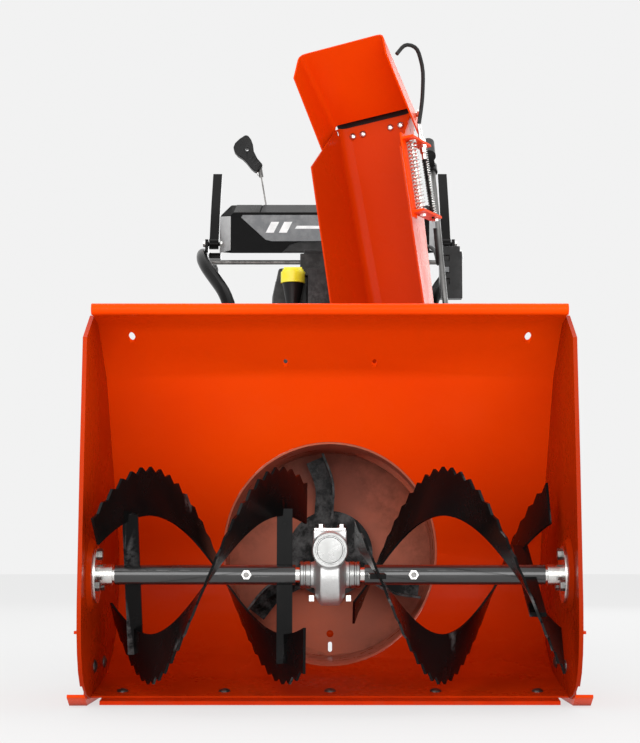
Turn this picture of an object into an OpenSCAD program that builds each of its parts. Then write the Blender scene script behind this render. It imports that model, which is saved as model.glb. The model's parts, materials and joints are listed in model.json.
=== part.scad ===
// Two-stage snowblower: auger housing, impeller, discharge chute, engine, traction drive and handlebars.
// Frame: +Z up, +Y towards the operator, +X to the operator's left. Origin on the ground, mid length.

/* [Auger housing] */
// Clearing width between the side plates
clearing_w = 610; // [600:5:620]
// Thickness of the housing sheet
sheet_t = 2.5; // [2:0.5:3]
// Radius of the auger flights
auger_r = 138; // [134:1:139]
// Pitch of the auger flights
auger_pitch = 342; // [320:1:360]
// Height of the auger axis above the ground
auger_z = 165; // [164:1:168]
// Inner radius of the impeller drum
drum_r = 152; // [151:1:153]

/* [Chute] */
// Lean of the chute axis towards the right of the machine
chute_tilt = 8; // [7:0.1:8.5]
// Rest turn of the chute to the right of straight ahead
chute_turn = 22; // [15:1:25]
// Rest lean of the deflector over the chute
deflector_lean = 48.5; // [46:0.5:50]

/* [Tractor] */
// Radius of a tyre
tyre_r = 203; // [202:1:204]
// Width of a tyre
tyre_w = 122; // [110:1:122]
// Half width of the tractor frame
frame_x = 125; // [123:1:126]

/* [Handlebars] */
// Distance of each handlebar from the middle
bar_x = 256; // [255.5:0.5:258]
// Radius of a handlebar tube
bar_r = 12.5; // [12:0.5:13]

/* [Hidden] */
$fn = 48;

// Stations along and above the ground
half_w = clearing_w / 2;
auger_y = -612;
impeller_z = 192;
worm_rise = impeller_z - auger_z;
drum_back_y = -222;
axle_y = 90;
axle_z = tyre_r;
deck_z = 300;
crank_z = 410;
plate_t = 3;
gap = 0.3;

// Gears: module, tooth counts and the hex shaft's place beside the axle
drive_module = 2;
pinion_teeth = 14;
axle_teeth = 63;
gear_span = drive_module * (pinion_teeth + axle_teeth) / 2;
hex_y = axle_y - 70;
hex_z = axle_z + sqrt(gear_span * gear_span - 70 * 70);
// The worm on the impeller shaft has two starts and the chute crank's worm has four
wheel_teeth = 20;
ring_teeth = 60;

// ---------- helpers ----------

function unit(v) = v / norm(v);
function bezier2(a, b, c, t) = (1 - t) * (1 - t) * a + 2 * t * (1 - t) * b + t * t * c;
function bezier3(a, b, c, d, t) =
    pow(1 - t, 3) * a + 3 * t * pow(1 - t, 2) * b + 3 * t * t * (1 - t) * c + pow(t, 3) * d;

// A polyline with each inner corner rounded over a length r with n steps
function rounded(p, r, n = 5) = [
    p[0],
    for (i = [1 : len(p) - 2])
        let (a = p[i - 1] - p[i], b = p[i + 1] - p[i], d = min(r, norm(a) / 2.1, norm(b) / 2.1))
            for (k = [0 : n]) bezier2(p[i] + unit(a) * d, p[i], p[i] + unit(b) * d, k / n),
    p[len(p) - 1]
];

// Mitred offset of an open 2D polyline to its left by t
function normal2(a, b) = let (d = unit(b - a)) [-d[1], d[0]];
function offset_line(p, t) = [
    for (i = [0 : len(p) - 1])
        let (m = normal2(p[max(i - 1, 0)], p[max(i, 1)]),
             n = normal2(p[min(i, len(p) - 2)], p[min(i + 1, len(p) - 1)]),
             s = m + n)
            p[i] + s * (t * 2 / (s * s))
];
function reversed(p) = [for (i = [len(p) - 1 : -1 : 0]) p[i]];
// Closed strip between an open polyline offset by t0 and by t1
function strip(p, t0, t1) = concat(offset_line(p, t0), reversed(offset_line(p, t1)));

module side_profile(x0, x1) {
    translate([x0, 0, 0]) rotate([90, 0, 90]) linear_extrude(x1 - x0) children();
}
module front_profile(y0, y1) {
    translate([0, y1, 0]) rotate([90, 0, 0]) linear_extrude(y1 - y0) children();
}
module rod_x(r, x0, x1) {
    translate([x0, 0, 0]) rotate([0, 90, 0]) cylinder(r = r, h = x1 - x0);
}
module rod_y(r, y0, y1) {
    translate([0, y0, 0]) rotate([-90, 0, 0]) cylinder(r = r, h = y1 - y0);
}
module box(lo, hi) {
    translate(lo) cube(hi - lo);
}
module both_sides() {
    children();
    mirror([1, 0, 0]) children();
}

// Closed solid through rings of points, with fan caps
module skin(rings) {
    n = len(rings[0]);
    m = len(rings);
    polyhedron(
        points = [for (r = rings) each r],
        faces = [
            for (k = [1 : n - 2]) [0, k, k + 1],
            for (i = [0 : m - 2]) for (k = [0 : n - 1])
                let (a = i * n + k, b = i * n + (k + 1) % n) each [[a, a + n, b + n], [a, b + n, b]],
            for (k = [1 : n - 2]) [(m - 1) * n, (m - 1) * n + k + 1, (m - 1) * n + k]
        ]);
}
function tangents(p) = [
    for (i = [0 : len(p) - 1]) unit(p[min(i + 1, len(p) - 1)] - p[max(i - 1, 0)])
];
function carried(t, n, i = 0) =
    i == len(t) - 1 ? [n] : concat([n], carried(t, unit(n - (n * t[i + 1]) * t[i + 1]), i + 1));
// Round bar of radius r along a 3D polyline
module swept(path, r, sides = 12, start = [1, 0, 0]) {
    t = tangents(path);
    n = carried(t, unit(start - (start * t[0]) * t[0]));
    skin([
        for (i = [0 : len(path) - 1])
            [for (k = [0 : sides - 1])
                let (a = 360 * k / sides) path[i] + r * (cos(a) * n[i] + sin(a) * cross(t[i], n[i]))]
    ]);
}
// Closed sheet between two grids of points of the same size
module plate(a, b) {
    n = len(a);
    m = len(a[0]);
    s = n * m;
    function quad(p, q, r, t) = [[p, q, r], [p, r, t]];
    polyhedron(
        points = concat([for (r = a) each r], [for (r = b) each r]),
        faces = [
            for (i = [0 : n - 2]) for (j = [0 : m - 2])
                let (p = i * m + j)
                    each concat(quad(p, p + 1, p + m + 1, p + m),
                                quad(s + p, s + p + m, s + p + m + 1, s + p + 1)),
            for (i = [0 : n - 2])
                let (p = i * m, q = i * m + m - 1)
                    each concat(quad(p, p + m, s + p + m, s + p), quad(q, s + q, s + q + m, q + m)),
            for (j = [0 : m - 2])
                let (p = j, q = (n - 1) * m + j)
                    each concat(quad(p, s + p, s + p + 1, p + 1), quad(q, q + 1, s + q + 1, s + q))
        ]);
}

// Spur gear outline with straight-sided teeth and backlash; one tooth stands on the +X axis
function gear_outline(teeth, m, backlash = 0.12) = [
    for (i = [0 : teeth - 1])
        let (rp = m * teeth / 2, step = 360 / teeth, a = i * step)
            for (c = [[-1.25, -0.36], [0.95, -0.12], [0.95, 0.12], [-1.25, 0.36]])
                let (q = rp + c[0] * m, w = c[1] * (1 - backlash) * step) [q * cos(a + w), q * sin(a + w)]
];

// V-belt pulley along Y: sheaves at the listed stations
module pulley(r, y0, y1, grooves, depth = 9, half = 5.5) {
    rotate([-90, 0, 0]) rotate_extrude()
        polygon(concat(
            [[9.8, y0], [r, y0]],
            [for (g = grooves) each
                [[r, g - half], [r - depth, g - half / 2], [r - depth, g + half / 2], [r, g + half]]],
            [[r, y1], [9.8, y1]]));
}
module carriage_bolt(head_r, shank_r, shank_l) {
    rotate_extrude() polygon([
        [0, head_r * 0.5], [head_r * 0.45, head_r * 0.42], [head_r * 0.8, head_r * 0.25],
        [head_r, 0], [shank_r, 0], [shank_r, -shank_l], [0, -shank_l]
    ]);
}
module hex_bolt(r, h, shank_r, shank_l) {
    cylinder(r = r, h = h, $fn = 6);
    translate([0, 0, -shank_l]) cylinder(r = shank_r, h = shank_l);
}

// ---------- auger housing ----------

// Inner line of the wrap sheet in (y, z), from the top lip to the scraper
wrap_line = concat(
    [[-644, 497], [-588, 492], [-495, 430]],
    [for (k = [0 : 10]) bezier3([-345, 213], [-303, 152], [-335, 44], [-480, 24], k / 10)],
    [[-592, 11]]);
// Front and lower edge line of a side plate in (y, z)
plate_front = concat([[-622, 498], [-680, 462], [-689, 300]],
    [for (k = [0 : 6]) bezier3([-693, 130], [-692, 60], [-670, 16], [-600, 8], k / 6)]);
plate_back = [[-440, 8], [-362, 60], [-300, 112], [-282, 170], [-296, 226], [-440, 445], [-560, 502]];
drain_z = 48;

module housing_wrap() color("orangered") {
    difference() {
        union() {
            side_profile(-half_w, half_w) polygon(strip(wrap_line, 0, sheet_t));
            translate([0, -645, 502.5]) rod_x(7.5, -half_w, half_w);
        }
        translate([0, 0, impeller_z]) rod_y(drum_r + sheet_t + gap, -458, -230);
        for (h = [[60, -512, 434, 3.4], [262.5, -566, 479, 4.5]])
            both_sides() translate([h[0], h[1], h[2]]) rotate([34, 0, 0])
                cylinder(r = h[3], h = 60, center = true);
        for (x = scraper_bolts_x) translate([x, scraper_bolt_y, 14]) cylinder(r = 4.6, h = 30, center = true);
    }
}

bearing_bolts = [90, 210, 330];
skid_bolts_y = [-570, -482];
skid_bolt_z = 47;

module side_plate() {
    difference() {
        union() {
            side_profile(half_w, half_w + plate_t) polygon(concat(plate_front, plate_back));
            side_profile(half_w, half_w + 5.5) polygon(strip([for (p = plate_front) if (p[1] > 25) p], 0, 6));
            translate([half_w + plate_t, auger_y, auger_z]) rotate([0, -90, 0])
                cylinder(r1 = 50, r2 = 42, h = 9);
        }
        translate([half_w + plate_t + 1, auger_y, auger_z]) rotate([0, -90, 0])
            cylinder(r1 = 48, r2 = 39, h = 7);
        translate([0, auger_y, auger_z]) rod_x(15, half_w - 20, half_w + 10);
        for (a = bearing_bolts)
            translate([0, auger_y + 26 * cos(a), auger_z + 26 * sin(a)]) rod_x(4.3, half_w - 20, half_w + 10);
        for (y = skid_bolts_y) translate([0, y, skid_bolt_z]) rod_x(4.6, half_w - 5, half_w + 10);
    }
}
module side_plate_left() color("orangered") side_plate();
module side_plate_right() color("orangered") mirror([1, 0, 0]) side_plate();

// Chute frame: its axis stands on the drum outlet; chute_place also turns it to its rest direction
chute_at = [117, -290, 372];
module chute_frame() {
    translate(chute_at) rotate([0, -chute_tilt, 0]) children();
}
module chute_place() {
    chute_frame() rotate([0, 0, -chute_turn]) children();
}

module outlet_duct(grow) {
    hull() {
        chute_frame() translate([0, 0, -8]) cylinder(r = 70 + grow, h = 8.5, $fn = 32);
        box([6 - grow, -332 - grow, 253 - grow], [drum_r + grow, -248 + grow, 264]);
    }
}
module impeller_drum() color("orangered") {
    difference() {
        union() {
            translate([0, 0, impeller_z]) rod_y(drum_r + sheet_t, -460, drum_back_y + plate_t);
            outlet_duct(sheet_t);
            chute_frame() cylinder(r = 72, h = 12);
            box([150, -264, 343], [206, -242, 367]);
        }
        translate([0, 0, impeller_z]) rod_y(drum_r, -470, drum_back_y);
        outlet_duct(0);
        chute_frame() translate([0, 0, -1]) cylinder(r = 69.5, h = 14);
        along_crank(-90) cylinder(r = 5.2, h = 90);
        translate([0, 0, impeller_z]) rod_y(21.3, drum_back_y - 1, drum_back_y + 10);
        translate([0, 0, impeller_z - 120]) rod_y(4, drum_back_y - 1, drum_back_y + 10);
        hull() for (z = [drain_z, drain_z + 9])
            translate([0, 0, z]) rod_y(3, drum_back_y - 1, drum_back_y + 10);
        side_profile(-200, 200) polygon(concat(wrap_line, [[-720, 0], [-720, 520]]));
    }
}

scraper_bolts_x = [-269, -137, 0, 137, 269];
scraper_bolt_y = -562;
module scraper_bar() color("orangered") difference() {
    side_profile(-292, 292) polygon(strip([[-546, 16.34], [-612, 8.68]], sheet_t + 0.1, sheet_t + 5.1));
    for (x = scraper_bolts_x) translate([x, scraper_bolt_y, 10]) cylinder(r = 5.4, h = 30, center = true);
}

module skid_shoe() {
    x0 = half_w + plate_t + 0.2;
    difference() {
        union() {
            side_profile(x0, x0 + 4)
                polygon([[-612, 4], [-612, 40], [-590, 72], [-455, 72], [-425, 40], [-425, 4]]);
            side_profile(x0, x0 + 23) polygon(strip([[-628, 12], [-606, 0], [-430, 0], [-405, 16]], 0, 4));
            box([x0, -572, 70], [x0 + 4, -548, 92]);
            side_profile(x0, x0 + 24) polygon([[-572, 88], [-572, 92], [-548, 92], [-548, 88]]);
        }
        for (y = skid_bolts_y) translate([0, y, skid_bolt_z]) rod_x(4.6, half_w, half_w + 20);
    }
}
module skid_shoes() color("orangered") both_sides() skid_shoe();

module shaft_bearings() color("silver") {
    both_sides() translate([0, auger_y, auger_z]) difference() {
        union() {
            rod_x(36, half_w - 9.2, half_w - 6.2);
            rod_x(13.4, half_w - 28, half_w - 9.2);
        }
        rod_x(9.55, half_w - 30, half_w);
        for (a = bearing_bolts) translate([0, 26 * cos(a), 26 * sin(a)]) rod_x(4.3, half_w - 20, half_w);
    }
    translate([0, 0, impeller_z]) difference() {
        union() {
            rod_y(21, drum_back_y - 1, drum_back_y + 9);
            rod_y(40, drum_back_y + plate_t + 0.1, drum_back_y + plate_t + 4);
        }
        rod_y(9.55, drum_back_y - 5, drum_back_y + 12);
    }
}

module housing_bolts() color("dimgray") {
    for (x = scraper_bolts_x)
        translate([x, scraper_bolt_y, 14.6]) rotate([6.6, 0, 0]) carriage_bolt(8, 4, 13);
    both_sides() {
        for (y = skid_bolts_y)
            translate([half_w - 0.2, y, skid_bolt_z]) rotate([0, -90, 0]) carriage_bolt(9, 4, 17);
        for (a = bearing_bolts)
            translate([half_w - 9.3, auger_y + 26 * cos(a), auger_z + 26 * sin(a)])
                rotate([0, -90, 0]) hex_bolt(7.5, 5.5, 4, 14);
    }
}

// ---------- augers and gear case ----------

function flight_angle(u, u0) = 90 + 360 / auger_pitch * (u - u0);
flight_in = 75;
flight_from = 30;
flight_to = 286;
// Place where a flight stands straight up: operator's left and right rakes
crest_left = 143;
crest_right = 58;
bars_u = [58, 252];
shear_u = 106;

module flight(u0, start) {
    n = 54;
    function ring(i, dx) =
        let (u = flight_from + (flight_to - flight_from) * i / n, a = flight_angle(u, u0) + start,
             r = auger_r - (i % 2 == 0 ? 0 : 8))
            [for (q = [flight_in, 108, r]) [u + dx, q * cos(a), q * sin(a)]];
    plate([for (i = [0 : n]) ring(i, 0)], [for (i = [0 : n]) ring(i, 3.2)]);
}
// A bar's longer end hangs down
function bar_turn(a) = cos(a) < -0.1 ? a + 180 : a;
module rake_flights(u0) {
    translate([0, auger_y, auger_z]) difference() {
        union() {
            for (start = [0, 180]) flight(u0, start);
            for (u = bars_u) rotate([bar_turn(flight_angle(u, u0) - 90), 0, 0])
                box([u - 10, -3, -112], [u + 10, 3, 84]);
        }
        rod_x(12.9, 30, 290);
    }
}
module rake_tube() {
    translate([0, auger_y, auger_z]) difference() {
        rod_x(12.7, 44, 274);
        rod_x(9.7, 40, 280);
        translate([shear_u, 0, 0]) rod_y(3.2, -20, 20);
    }
}
module auger_flights_left() color("black") rake_flights(crest_left);
module auger_flights_right() color("black") mirror([1, 0, 0]) rake_flights(crest_right);
module auger_tube_left() color("black") rake_tube();
module auger_tube_right() color("black") mirror([1, 0, 0]) rake_tube();

module auger_shaft() color("silver") {
    translate([0, auger_y, auger_z]) difference() {
        rod_x(9.5, -300, 300);
        for (x = [-shear_u, shear_u]) translate([x, 0, 0]) rod_y(3.2, -20, 20);
    }
}
module shear_pins() color("silver") {
    both_sides() translate([shear_u, auger_y, auger_z]) rotate([90, 0, 0]) {
        cylinder(r = 3, h = 36, center = true);
        translate([0, 0, 13.2]) cylinder(r = 6.5, h = 4.5, $fn = 6);
        translate([0, 0, -18]) cylinder(r = 6.2, h = 4.5, $fn = 6);
    }
}

module worm_wheel() color("goldenrod") {
    side_profile(-9, 9) translate([auger_y, auger_z]) difference() {
        polygon(gear_outline(wheel_teeth, 1.6));
        circle(r = 9.55);
    }
}
module gearbox_case() color("silver") {
    difference() {
        union() {
            translate([0, auger_y, auger_z]) {
                rod_x(33, -23, 23);
                rod_x(18, -41, 41);
            }
            translate([0, 0, impeller_z]) {
                rod_y(23, -656, -566);
                rod_y(17, -566, -500);
                rod_y(24, -530, -522);
            }
            box([-18, -648, 200], [18, -580, 219]);
        }
        translate([0, auger_y, auger_z]) {
            rod_x(24, -17, 17);
            rod_x(9.6, -50, 50);
        }
        translate([0, 0, impeller_z]) {
            rod_y(14, -640, -590);
            rod_y(9.6, -600, -490);
            rod_y(17, -657, -653.5);
        }
    }
    for (x = [-22, 22]) for (z = [203, 214])
        translate([x * 0.72, -648.2, z]) rotate([90, 0, 0]) cylinder(r = 4, h = 4, $fn = 6);
}
module impeller_shaft() color("silver") {
    translate([0, 0, impeller_z]) {
        rod_y(9.5, -588, -162);
        rod_y(9, -638, -588);
    }
}

// ---------- impeller ----------

module impeller() color("black") {
    blade = rounded([[0, 16], [3, 104], [-16, 145]], 30, 5);
    translate([0, 0, impeller_z]) difference() {
        union() {
            rod_y(22, -330, -232);
            rod_y(64, -246, -242);
            for (a = [2, 122, 242]) rotate([0, a, 0]) translate([0, -243.5, 0]) rotate([90, 0, 0]) {
                linear_extrude(85) polygon(strip(blade, -1.6, 1.6));
                linear_extrude(3) polygon(strip(blade, 1, 27));
            }
        }
        rod_y(9.6, -340, -225);
    }
}
module impeller_pulley() color("gray") translate([0, 0, impeller_z]) pulley(80, -195, -170, [-182.5]);

// ---------- chute ----------

chute_section_at = [15.1, 60, 120, 190, 260, 330, 405, 440, 470, 490];
module chute_ring() color("dimgray") chute_frame() difference() {
    union() {
        translate([0, 0, 1.5]) linear_extrude(9) polygon(gear_outline(ring_teeth, 3, 0));
        translate([0, 0, 10.5]) cylinder(r = 91, h = 4.5);
    }
    cylinder(r = 72.8, h = 12.4);
    cylinder(r = 68, h = 30);
}

// Height of the wall top at a place y along the wall
function wall_top(y) = y > 50 ? 490 : 490 - (50 - y) * 78 / 110;
function chute_half(h) = 42 + 18 * (h - 15) / 475;
function chute_line(h) = rounded([[-70, -60], [-chute_half(h), 62], [chute_half(h), 62], [70, -60]], 16, 4);
chute_steps = 9;
function chute_level(k, t) = [
    for (i = [0 : len(chute_line(15)) - 1])
        let (top = wall_top(chute_line(15)[i][1]),
             h = 15.1 + (top - 15.1) * k / chute_steps,
             p = offset_line(chute_line(h), t)[i])
            [p[0], p[1], h]
];
module chute_body() color("orangered") chute_place() {
    difference() {
        plate([for (k = [0 : chute_steps]) chute_level(k, 0)],
              [for (k = [0 : chute_steps]) chute_level(k, sheet_t)]);
        for (x = chute_bolts_x) translate([x, 0, chute_bolts_z]) rod_y(3.4, 55, 70);
        translate([0, 50, 482]) rod_x(4.2, -80, 80);
    }
}
chute_bolts_x = [-41.5, -24.5, 21.5, 38.5];
chute_bolts_z = 475;
pivot = [0, 50, 482];
module deflector_place() {
    chute_place() translate(pivot) rotate([deflector_lean, 0, 0]) children();
}
// The hood: half width at the back panel, splay of its side plates,
// and their depth at a height w over the pivot
hood_half = 66;
hood_splay = 0.18;
hood_back = 8;
hood_len = 146;
function hood_depth(w) = 48 - 18 * max(0, w) / hood_len;
function hood_low(y) = y > 0 ? 10 - (hood_back - y) * 2.75 : -12 - y / 4.8;
function hood_top(y) = hood_len - (hood_back - y) * 0.2;
function hood_line(w) =
    let (d = hood_depth(w), x = hood_half + (hood_back + d) * hood_splay)
        rounded([[-x, -d], [-hood_half, hood_back], [hood_half, hood_back], [x, -d]], 7.5, 3);
function hood_level(k, t) = [
    for (i = [0 : len(hood_line(0)) - 1])
        let (y = hood_line(0)[i][1],
             w = hood_low(y) + (hood_top(y) - hood_low(y)) * k / 8,
             q = offset_line(hood_line(w), t)[i])
            [q[0], q[1], w]
];
module chute_deflector() color("orangered") deflector_place() difference() {
    plate([for (k = [0 : 8]) hood_level(k, 0)], [for (k = [0 : 8]) hood_level(k, sheet_t)]);
    for (s = [-1, 1]) translate([s * 69, 0, 0]) rod_x(4.2, -5, 5);
}
// Springs and cable ferrule stand between two arms on the chute's left side
arm_z = [311, 422];
arm_t = 3.5;
spring_at = [82, -36];
ferrule_at = [85.5, 4];
thin_at = [83, 20];
module deflector_springs() color("silver") chute_place() {
    low = arm_z[0] + arm_t + gap;
    high = arm_z[1] - gap;
    translate([spring_at[0], spring_at[1], low]) cylinder(r = 7.5, h = high - low);
    translate([thin_at[0], thin_at[1], low]) cylinder(r = 4.5, h = high - low);
    translate([ferrule_at[0], ferrule_at[1], low]) cylinder(r = 4, h = 84);
    translate([ferrule_at[0], ferrule_at[1], 400]) cylinder(r = 5, h = 54);
}
module deflector_bracket() color("orangered") chute_place() difference() {
    union() {
        for (z = arm_z) box([72.7, -58, z], [92, 28, z + arm_t]);
        box([72.7, -58, arm_z[0] - 6], [75.2, -40, arm_z[1] + 10]);
    }
    translate([ferrule_at[0], ferrule_at[1], 400]) cylinder(r = 5.3, h = 60);
}
module chute_bolts() color("silver") chute_place() {
    for (x = chute_bolts_x) translate([x, 61, chute_bolts_z]) rotate([90, 0, 0]) carriage_bolt(5.5, 3, 7);
    for (s = [-1, 1]) scale([s, 1, 1]) translate([62.6, 50, 482]) rotate([0, 90, 0]) {
        cylinder(r = 4, h = 14);
        translate([0, 0, 10.4]) cylinder(r = 7, h = 4);
    }
}

// ---------- chute crank ----------

crank_low = [194.6, -209, 392];
crank_top = [204, 450, 943];
crank_len = norm(crank_top - crank_low);
crank_yaw = atan2(crank_top[1] - crank_low[1], crank_top[0] - crank_low[0]);
crank_pitch = acos((crank_top[2] - crank_low[2]) / crank_len);
// Local +Z runs up the crank rod from its worm
module along_crank(from = 0) {
    translate(crank_low) rotate([0, crank_pitch, crank_yaw]) translate([0, 0, from]) children();
}
module chute_crank_rod() color("dimgray") along_crank() {
    translate([0, 0, -74]) cylinder(r = 5, h = crank_len + 74);
    translate([0, 0, -14]) cylinder(r = 11.5, h = 28);
}
module chute_crank_handle() color("black") along_crank(crank_len) rotate([0, 0, -15]) difference() {
    union() {
        translate([0, 0, 0.2]) cylinder(r = 9, h = 26);
        translate([-36, -7, 12]) cube([45, 14, 12]);
        translate([-30, 0, 12]) cylinder(r = 13, h = 56);
    }
    translate([0, 0, -1]) cylinder(r = 5.1, h = 12);
}

cable_path = [
    [99, -358, 929], [112, -352, 947], [130, -344, 944], [140, -332, 915], [139, -322, 870],
    [133.7, -318.3, 834]
];
lower_cable_path = [
    [165, -192, 700], [172, -170, 640], [172, -60, 698], [128, 140, 730], [84, 440, 746], [81, 515, 756],
    [80, 545, 785]
];
module deflector_cable() color("black") swept(rounded(cable_path, 16, 3), 3, 10);
module control_cable() color("black") swept(rounded(lower_cable_path, 60, 5), 3, 10);
module deflector_lever() color("black") translate([80, 548, 830]) difference() {
    union() {
        rod_x(9, -8, 8);
        cylinder(r = 5, h = 96);
        translate([0, 0, 92]) cylinder(r1 = 9, r2 = 15, h = 30);
    }
    rod_x(4.2, -10, 10);
}

// ---------- tractor ----------

module tractor_frame() color("black") difference() {
    union() {
        both_sides() box([frame_x - 3, -218.7, 108], [frame_x, 215, deck_z]);
        box([-frame_x, -112, 108], [frame_x, -109, deck_z]);
        box([-frame_x, 212, 108], [frame_x, 215, deck_z]);
        box([-frame_x, -109, deck_z - 3], [frame_x, 215, deck_z]);
        box([-frame_x, -109, 108], [frame_x, 215, 111]);
    }
    translate([0, axle_y, axle_z]) rod_x(10.3, -140, 140);
    translate([0, hex_y, hex_z]) rod_x(8.3, -140, 140);
    translate([0, 0, hex_z]) rod_y(8.3, -115, -100);
}
module belt_cover() color("black") difference() {
    hull() {
        translate([0, 0, crank_z]) rod_y(50, -206, -113);
        box([-62, -206, 303], [62, -113, 305]);
    }
    hull() {
        translate([0, 0, crank_z]) rod_y(47, -203, -110);
        box([-59, -203, 300], [59, -110, 302]);
    }
}
module engine_pulley() color("gray") {
    translate([0, 0, crank_z]) pulley(34, -197, -132, [-182.5, -147]);
    translate([0, 0, crank_z]) rod_y(9.7, -197, -96.5);
}
module drive_belts() color("dimgray") {
    for (b = [[-182.5, impeller_z, 80], [-147, hex_z, 46]])
        front_profile(b[0] - 3.1, b[0] + 3.1) difference() {
            hull() {
                translate([0, crank_z]) circle(r = 35);
                translate([0, b[1]]) circle(r = b[2] + 1);
            }
            hull() {
                translate([0, crank_z]) circle(r = 29);
                translate([0, b[1]]) circle(r = b[2] - 5);
            }
        }
}
module friction_disc() color("silver") translate([0, 0, hex_z]) {
    pulley(46, -158, -136, [-147]);
    rod_y(8, -158, -44);
    rod_y(58, -44, -38.4);
}
module friction_wheel() color("dimgray") translate([0, hex_y, hex_z]) difference() {
    union() {
        rod_x(58, -46, -36);
        rod_x(22, -60, -20);
    }
    rotate([0, 90, 0]) cylinder(r = 8.6, h = 200, center = true, $fn = 6);
}
gear_line = atan2(hex_z - axle_z, hex_y - axle_y);
module hex_shaft() color("silver") translate([0, hex_y, hex_z]) {
    rotate([0, 90, 0]) cylinder(r = 8, h = 236, center = true, $fn = 6);
    side_profile(86, 102) rotate(gear_line + 180 + 180 / pinion_teeth)
        polygon(gear_outline(pinion_teeth, drive_module));
    rod_x(8.2, -126, -110);
    rod_x(8.2, 110, 126);
}
module axle() color("silver") translate([0, axle_y, axle_z]) {
    rod_x(10, -286, 286);
    side_profile(88, 100) rotate(gear_line) polygon(gear_outline(axle_teeth, drive_module));
    both_sides() translate([262, 0, 0]) rod_y(3, -26, 26);
}

wheel_mid = 224;
module around_axle(x) {
    translate([x, axle_y, axle_z]) rotate([0, 90, 0]) children();
}
module rim() {
    difference() {
        around_axle(wheel_mid) rotate_extrude() polygon([
            [10.1, -60], [22, -60], [22, -8], [60, -4], [90, -16], [96, -42], [108, -42], [108, -39],
            [99, -39], [93, -14], [93, 14], [99, 39], [108, 39], [108, 42], [96, 42], [90, 16], [60, 2],
            [22, 2], [22, 56], [10.1, 56]
        ]);
        translate([262, axle_y, axle_z]) rod_y(3.2, -40, 40);
        for (a = [0 : 72 : 288])
            around_axle(wheel_mid) rotate([0, 0, a]) translate([58, 0, 0])
                cylinder(r = 12, h = 60, center = true);
    }
}
module tyre() around_axle(wheel_mid) rotate_extrude() polygon([
    [108.3, -44], [114, -50], [150, -61], [182, -60], [199, -50], [203, -34], [203, 34], [199, 50], [182, 60],
    [150, 61], [114, 50], [108.3, 44], [120, 40], [150, 52], [180, 50], [194, 30], [194, -30], [180, -50],
    [150, -52], [120, -40]
]);
module rims() color("white") both_sides() rim();
module tyres() color("dimgray") both_sides() tyre();

// ---------- engine ----------

module engine_block() color("dimgray") difference() {
    union() {
        box([-84, -95, 300.3], [84, 130, 330]);
        box([-72, -90, 330], [72, 130, 486]);
        box([72, -44, 352], [104, 56, 452]);
        for (x = [106 : 7 : 155]) box([x, -52, 344], [x + 3, 64, 460]);
        box([100, -30, 366], [162, 42, 438]);
    }
    translate([0, 0, crank_z]) rod_y(10, -120, -60);
    translate([0, 0, crank_z]) rod_y(30, -80, 120);
}
module engine_shroud() color("black") difference() {
    union() {
        box([-96, -92, 488], [150, 132, 585]);
        box([-36, -92, 580], [150, 132, 654]);
        translate([0, 0, crank_z]) rod_y(88, 131, 176);
        box([-88, 131, crank_z], [88, 176, 560]);
    }
    box([-93, -89, 480], [147, 129, 582]);
    box([-33, -89, 570], [147, 129, 651]);
    translate([0, 0, crank_z]) rod_y(84, 120, 172);
    translate([-61, -60, 584]) cylinder(r = 12, h = 20, center = true);
    translate(recoil_at) rod_y(4, 120, 180);
    translate(choke_at) rod_y(4.2, -10, 10);
    for (i = [0 : 11]) translate([0, 0, crank_z]) rotate([0, i * 30, 0]) box([40, 160, -4], [72, 180, 4]);
}
recoil_at = [60, 0, 520];
module recoil_handle() color("black") translate(recoil_at) {
    translate([0, 186, 0]) rod_x(8, -28, 28);
    rod_y(3, 136, 180);
}
module muffler() color("dimgray") {
    box([-160, -30, 430], [-100, 110, 520]);
    translate([-130, 0, 475]) rod_y(14, -60, -30);
    box([-100, 30, 450], [-72.4, 60, 480]);
}
module fuel_tank() color("black") difference() {
    union() {
        box([-50, -20, 654.4], [160, 140, 692]);
        box([-44, -14, 690], [154, 134, 699]);
        translate([100, 60, 692]) cylinder(r = 28, h = 13);
    }
    box([-46, -16, 658], [156, 136, 688]);
    translate([100, 60, 680]) cylinder(r = 24, h = 40);
}
module fuel_cap() color("black") translate([100, 60, 705.2]) difference() {
    union() {
        cylinder(r = 35, h = 18);
        translate([0, 0, -14]) cylinder(r = 23.5, h = 16);
    }
    translate([0, 0, -15]) cylinder(r = 20, h = 24);
}
module oil_filler() color("black") translate([-61, -60, 0]) difference() {
    union() {
        translate([0, 0, 486.4]) cylinder(r = 11, h = 130);
        translate([0, 0, 600]) cylinder(r1 = 11, r2 = 17.6, h = 34);
    }
    translate([0, 0, 480]) cylinder(r = 8.6, h = 200);
}
module oil_cap() color("yellow") translate([-61, -60, 634.3]) {
    cylinder(r = 20, h = 19);
    translate([0, 0, 19]) cylinder(r = 17.5, h = 4);
    translate([-15, -3, 20]) cube([30, 6, 7]);
    translate([0, 0, -146]) cylinder(r = 3, h = 147);
    translate([0, 0, -12]) cylinder(r = 8.4, h = 13);
}
choke_at = [50, 132, 605];
module choke_knob() color("black") translate(choke_at) {
    rod_y(4, -8, 6);
    rod_y(15, 0.4, 9);
    box([-3, 9, -15], [3, 17, 15]);
}
module starter_motor() color("black") translate([118, 0, 323]) {
    rod_y(20, -92, 20);
    rod_y(12, 20, 34);
}
module switch_box() color("black") difference() {
    union() {
        box([204, 280, 664], [246, 304, 752]);
        box([208, 280, 752], [242, 304, 762]);
    }
    for (z = button_z) box([212, 278, z], [222, 284, z + 11]);
}

button_z = [690, 712, 734];
module starter_button() color("dimgray")
    box([212.5, 277.4, button_z[1] + 0.5], [221.5, 280.8, button_z[1] + 10.5]);

// ---------- handlebars and controls ----------

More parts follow.
